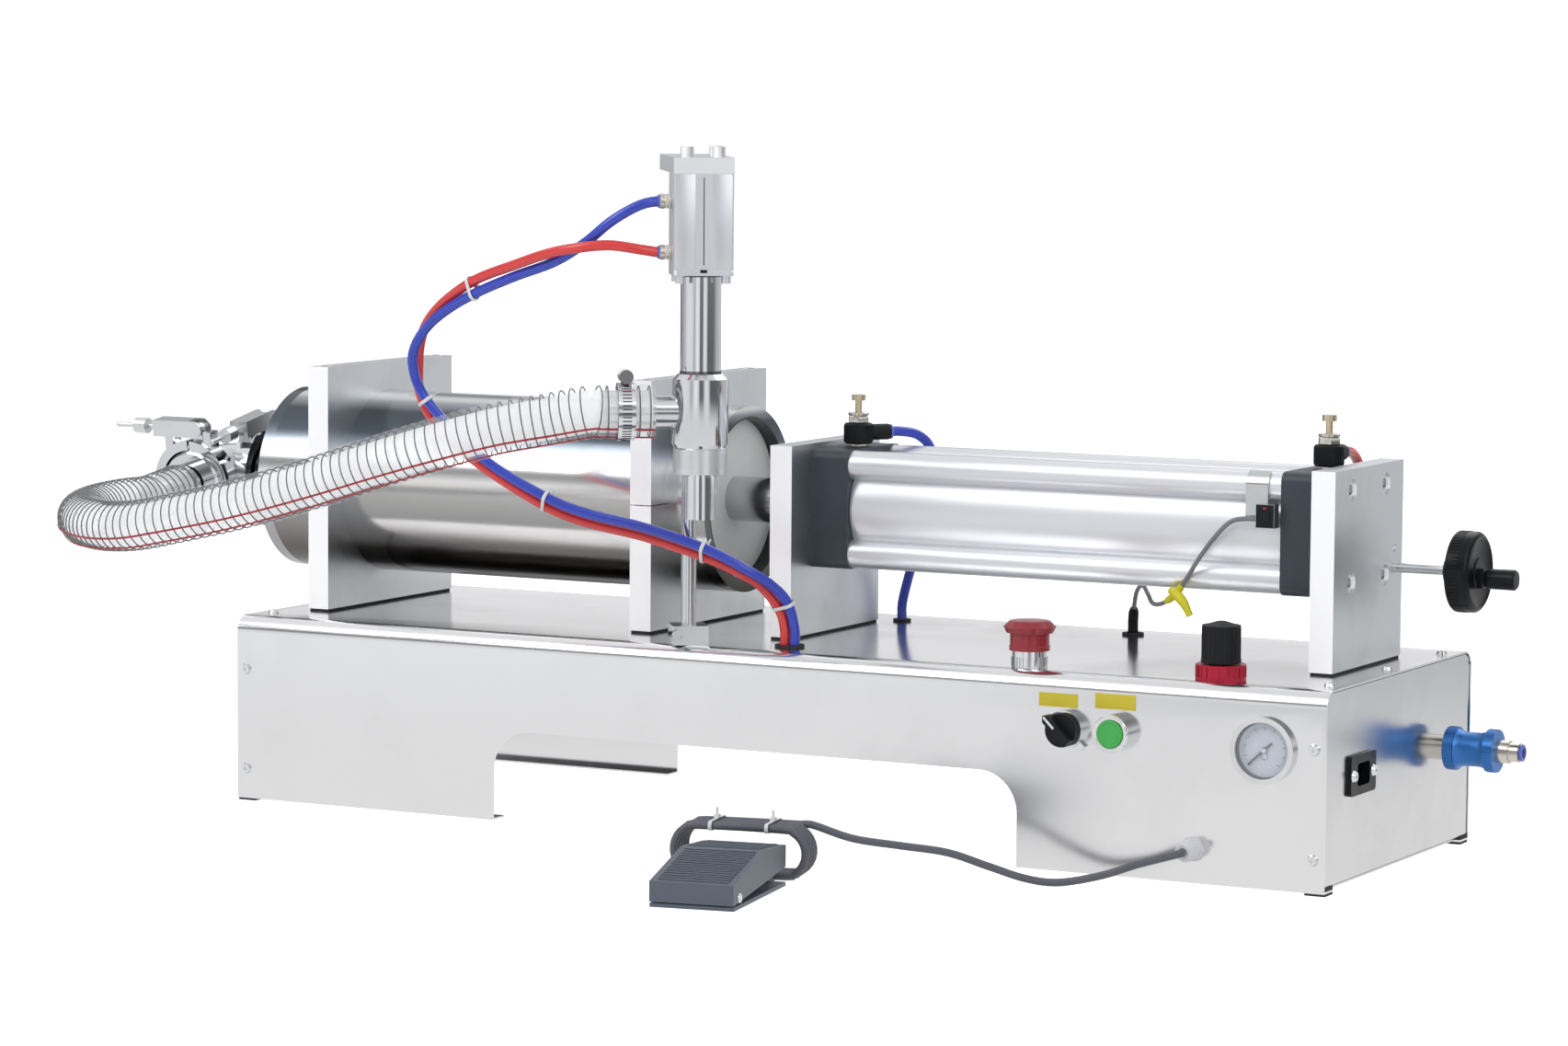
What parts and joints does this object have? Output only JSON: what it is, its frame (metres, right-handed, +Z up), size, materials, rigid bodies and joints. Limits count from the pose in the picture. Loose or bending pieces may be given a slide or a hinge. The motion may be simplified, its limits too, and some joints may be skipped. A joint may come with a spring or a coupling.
{
  "type": "liquid filling machine",
  "caption": "Bench-top horizontal piston filler: an air cylinder drives a piston in a steel tube, and a ribbed hose feeds a shut-off nozzle on a stand; foot pedal on a cord.",
  "frame": {"origin": "on the surface the machine stands on, under the middle of the machine, its pedal and fittings taken together, without the free hoses, tubes and cords", "axes": "+X along the housing toward the handwheel, +Y toward the back, +Z up"},
  "size_m": [1.212, 0.5882, 0.54],
  "materials": {
    "housing_sheet": "mirror-like polished sheet",
    "end_sheet": "satin sheet",
    "black_rubber": "matt",
    "bright_screw": "bright",
    "black_plastic": "gloss",
    "pale_plastic": "satin",
    "valve_plastic": "satin",
    "plate_steel": "fine ground",
    "tube_steel": "polished",
    "white_plastic": "smooth",
    "cap_paint": "cast and painted",
    "anodised": "anodised",
    "brass": "bright",
    "wheel_plastic": "gloss",
    "nozzle_steel": "polished",
    "clear_hose": "clear with wire",
    "blue_tube": "smooth",
    "red_tube": "smooth",
    "grey_cord": "matt",
    "stop_red": "gloss",
    "button_green": "gloss",
    "regulator_red": "anodised",
    "lens_glass": "clear",
    "valve_blue": "anodised",
    "pedal_plastic": "satin"
  },
  "bodies": {
    "machine": {"housing_cover": "housing_sheet", "end_panels": "end_sheet", "service_tray": "end_sheet", "rubber_feet": "black_rubber", "housing_screws": "bright_screw", "rubber_seals": "black_rubber", "power_inlet": "black_plastic", "cable_gland": "pale_plastic", "solenoid_valves": "valve_plastic", "cradle_bases": "plate_steel", "cradle_caps": "plate_steel", "filling_tube": "tube_steel", "tube_end_cap": "tube_steel", "cylinder_plates": "plate_steel", "air_caps": "cap_paint", "air_barrel": "anodised", "tie_rods": "bright_screw", "air_fittings": "black_plastic", "switch_strap": "plate_steel", "nozzle_stand": "tube_steel", "nozzle_arm": "plate_steel", "lift_cylinder": "anodised", "nozzle_neck": "nozzle_steel", "valve_body": "nozzle_steel", "ring_nut": "nozzle_steel", "nozzle_tip": "nozzle_steel", "hose_band": "bright_screw", "product_hose": "clear_hose", "blue_air_tube": "blue_tube", "red_air_tube": "red_tube", "cylinder_air_tubes": "blue_tube", "sensor_cable": "grey_cord", "outlet_elbow": "nozzle_steel", "hose_adapter": "nozzle_steel", "clamp_rings": "nozzle_steel", "control_bezels": "nozzle_steel", "regulator_body": "regulator_red", "gauge_case": "nozzle_steel", "gauge_lens": "lens_glass", "air_inlet": "nozzle_steel", "pedal_base": "pedal_plastic", "pedal_cord": "grey_cord", "cord_hank": "grey_cord"},
    "product_piston": {"filling_piston": "white_plastic", "drive_rod": "tube_steel"},
    "front_speed_screw": {"front_flow_screw": "brass"},
    "rear_speed_screw": {"rear_flow_screw": "brass"},
    "dose_wheel": {"dose_screw": "wheel_plastic"},
    "carriage": {"switch_carriage": "anodised"},
    "plug_stem": {"nozzle_stem": "nozzle_steel"},
    "elbow_clamp_lever": {"elbow_lever": "nozzle_steel"},
    "port_clamp_lever": {"port_lever": "nozzle_steel"},
    "stop_plunger": {"estop_plunger": "black_plastic"},
    "stop_head": {"estop_head": "stop_red"},
    "selector": {"selector_knob": "black_plastic"},
    "start_button": {"power_button": "button_green"},
    "pressure_knob": {"regulator_knob": "black_plastic"},
    "needle": {"gauge_needle": "black_plastic"},
    "air_sleeve": {"valve_sleeve": "valve_blue"},
    "pedal_top": {"pedal_tread": "pedal_plastic"}
  },
  "joints": [
    {"name": "piston_stroke", "type": "slide", "parent": "machine", "child": "product_piston", "axis": [-1, 0, 0], "range_m": [0, 0.3]},
    {"name": "plug_lift", "type": "slide", "parent": "machine", "child": "plug_stem", "axis": [0, 0, 1], "range_m": [0, 0.012], "stiffness_N_per_m": 400, "springref_m": -0.005},
    {"name": "dose_turn", "type": "hinge", "parent": "machine", "child": "dose_wheel", "pos_m": [0.55, 0.2009, 0.222], "axis": [1, 0, 0], "range_deg": [0, 10800]},
    {"name": "carriage_travel", "type": "slide", "parent": "machine", "child": "carriage", "axis": [-1, 0, 0], "range_m": [0, 0.24]},
    {"name": "front_speed_turn", "type": "hinge", "parent": "machine", "child": "front_speed_screw", "pos_m": [0.0735, 0.1469, 0.3], "axis": [0, 0, 1], "range_deg": [0, 1080]},
    {"name": "rear_speed_turn", "type": "hinge", "parent": "machine", "child": "rear_speed_screw", "pos_m": [0.4735, 0.1469, 0.3], "axis": [0, 0, 1], "range_deg": [0, 1080]},
    {"name": "elbow_lever_open", "type": "hinge", "parent": "machine", "child": "elbow_clamp_lever", "pos_m": [-0.523, 0.09712, 0.29246], "axis": [0, 0.9903, 0.1392], "range_deg": [0, 95]},
    {"name": "port_lever_open", "type": "hinge", "parent": "machine", "child": "port_clamp_lever", "pos_m": [-0.4938, 0.1539, 0.299], "axis": [-1, 0, 0], "range_deg": [0, 95]},
    {"name": "stop_push", "type": "slide", "parent": "machine", "child": "stop_plunger", "axis": [0, 0, -1], "range_m": [0, 0.004]},
    {"name": "stop_twist", "type": "hinge", "parent": "stop_plunger", "child": "stop_head", "pos_m": [0.286, 0.0169, 0.151], "axis": [0, 0, 1], "range_deg": [0, 45]},
    {"name": "selector_turn", "type": "hinge", "parent": "machine", "child": "selector", "pos_m": [0.331, -0.0111, 0.11], "axis": [0, 1, 0], "range_deg": [0, 90]},
    {"name": "start_push", "type": "slide", "parent": "machine", "child": "start_button", "axis": [0, 1, 0], "range_m": [0, 0.004], "stiffness_N_per_m": 800, "springref_m": -0.001},
    {"name": "pressure_turn", "type": "hinge", "parent": "machine", "child": "pressure_knob", "pos_m": [0.439, 0.0249, 0.151], "axis": [0, 0, 1], "range_deg": [-720, 720]},
    {"name": "needle_turn", "type": "hinge", "parent": "machine", "child": "needle", "pos_m": [0.489, -0.0111, 0.105], "axis": [0, 1, 0], "range_deg": [0, 270]},
    {"name": "sleeve_slide", "type": "slide", "parent": "machine", "child": "air_sleeve", "axis": [1, 0, 0], "range_m": [0, 0.008]},
    {"name": "pedal_press", "type": "hinge", "parent": "machine", "child": "pedal_top", "pos_m": [0.16108, -0.27476, 0.008], "axis": [-0.9848, -0.1736, 0], "range_deg": [0, 5], "stiffness_Nm_per_rad": 20, "springref_deg": -1.15}
  ],
  "couplings": [
    {"joint": "carriage_travel", "follows": "dose_turn", "m_per_rad": 0.0012732}
  ]
}
